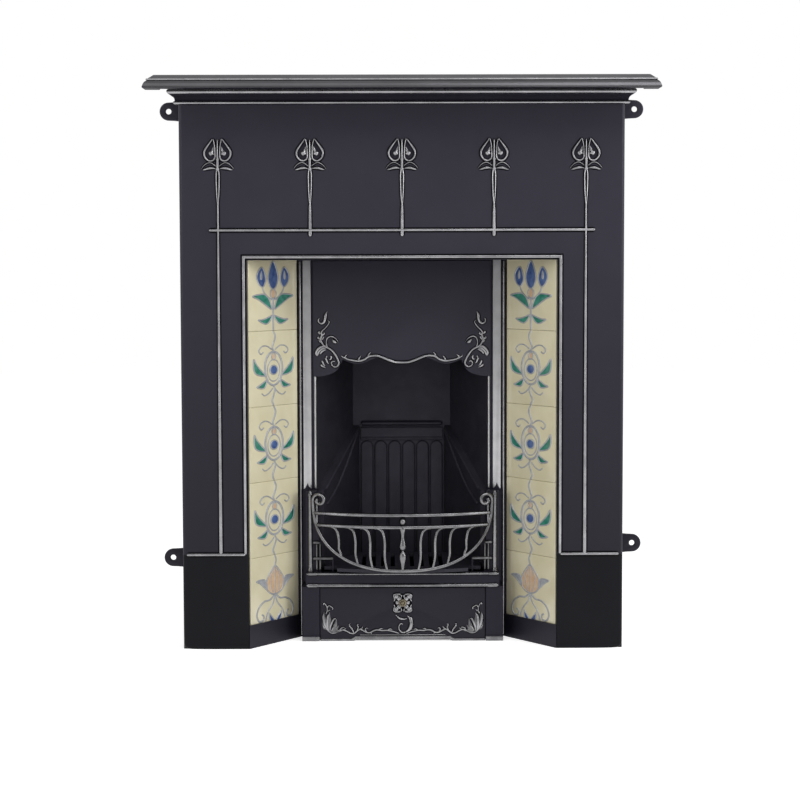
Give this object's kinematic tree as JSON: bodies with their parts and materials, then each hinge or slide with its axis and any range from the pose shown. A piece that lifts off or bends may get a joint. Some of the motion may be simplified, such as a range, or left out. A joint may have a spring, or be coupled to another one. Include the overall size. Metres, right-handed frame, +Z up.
{
  "type": "cast iron fireplace",
  "caption": "Cast iron combination fireplace: moulded mantel shelf, surround with raised beads and tulips, tiled splayed cheeks, hood, bowed fire basket and ash pit cover.",
  "frame": {"origin": "bottom centre of the bounding box, on the hearth", "axes": "+Z up, the fireplace faces -Y, the wall it is fixed to is on its +Y side, +X to the viewer's right"},
  "size_m": [1.003, 0.4164, 1.14],
  "materials": {
    "black_iron": "blackened and burnished cast iron, semi-gloss, with polished highlights on the raised beads",
    "shelf_iron": "burnished cast iron, satin",
    "bar_iron": "polished cast iron bars, satin",
    "sooty_iron": "dull black cast iron, fire side",
    "tile_glaze": "glossy cream glaze with tube-lined flowers",
    "steel": "dark steel, satin",
    "knob_bronze": "aged, rubbed bright on top"
  },
  "bodies": {
    "fireplace": {"surround_front": "black_iron", "mantel_shelf": "shelf_iron", "shelf_screw_1": "steel", "shelf_screw_2": "steel", "shelf_screw_3": "steel", "left_tile_frame": "black_iron", "right_tile_frame": "black_iron", "left_tile_1": "tile_glaze", "left_tile_2": "tile_glaze", "left_tile_3": "tile_glaze", "left_tile_4": "tile_glaze", "left_tile_5": "tile_glaze", "right_tile_1": "tile_glaze", "right_tile_2": "tile_glaze", "right_tile_3": "tile_glaze", "right_tile_4": "tile_glaze", "right_tile_5": "tile_glaze", "soffit_plate": "black_iron", "left_frame_screw_1": "steel", "left_frame_screw_2": "steel", "right_frame_screw_1": "steel", "right_frame_screw_2": "steel", "soffit_screw_1": "steel", "soffit_screw_2": "steel", "insert_front": "black_iron", "left_insert_screw_1": "steel", "left_insert_screw_2": "steel", "right_insert_screw_1": "steel", "right_insert_screw_2": "steel", "hood": "black_iron", "hood_screw_1": "steel", "hood_screw_2": "steel", "left_fire_cheek": "sooty_iron", "right_fire_cheek": "sooty_iron", "left_cheek_screw_1": "steel", "left_cheek_screw_2": "steel", "right_cheek_screw_1": "steel", "right_cheek_screw_2": "steel", "fireback": "sooty_iron", "left_fireback_screw_1": "steel", "left_fireback_screw_2": "steel", "right_fireback_screw_1": "steel", "right_fireback_screw_2": "steel", "throat_plate": "sooty_iron", "left_throat_screw": "steel", "right_throat_screw": "steel"},
    "basket": {"basket_front": "bar_iron"},
    "grate": {"bottom_grate": "sooty_iron"},
    "cover": {"ash_pan_cover": "black_iron", "cover_knob": "knob_bronze", "knob_nut": "steel"},
    "ash_pan": {"ash_pan": "steel", "ash_pan_handle": "steel"},
    "damper": {"damper_flap": "sooty_iron", "damper_lever": "sooty_iron"}
  },
  "joints": [
    {"name": "basket_lift", "type": "slide", "parent": "fireplace", "child": "basket", "axis": [0, 0, 1], "range_m": [0, 0.05]},
    {"name": "grate_lift", "type": "slide", "parent": "fireplace", "child": "grate", "axis": [0, 0, 1], "range_m": [0, 0.03]},
    {"name": "cover_pull", "type": "slide", "parent": "fireplace", "child": "cover", "axis": [0, -1, 0], "range_m": [0, 0.25]},
    {"name": "ash_pan_pull", "type": "slide", "parent": "fireplace", "child": "ash_pan", "axis": [0, -1, 0], "range_m": [0, 0.2]},
    {"name": "damper_swing", "type": "hinge", "parent": "fireplace", "child": "damper", "pos_m": [0, 0.14964, 0.6536], "axis": [-1, 0, 0], "range_deg": [0, 60]}
  ],
  "couplings": [
    {"joint": "ash_pan_pull", "follows": "cover_pull", "ratio": 0.8}
  ]
}
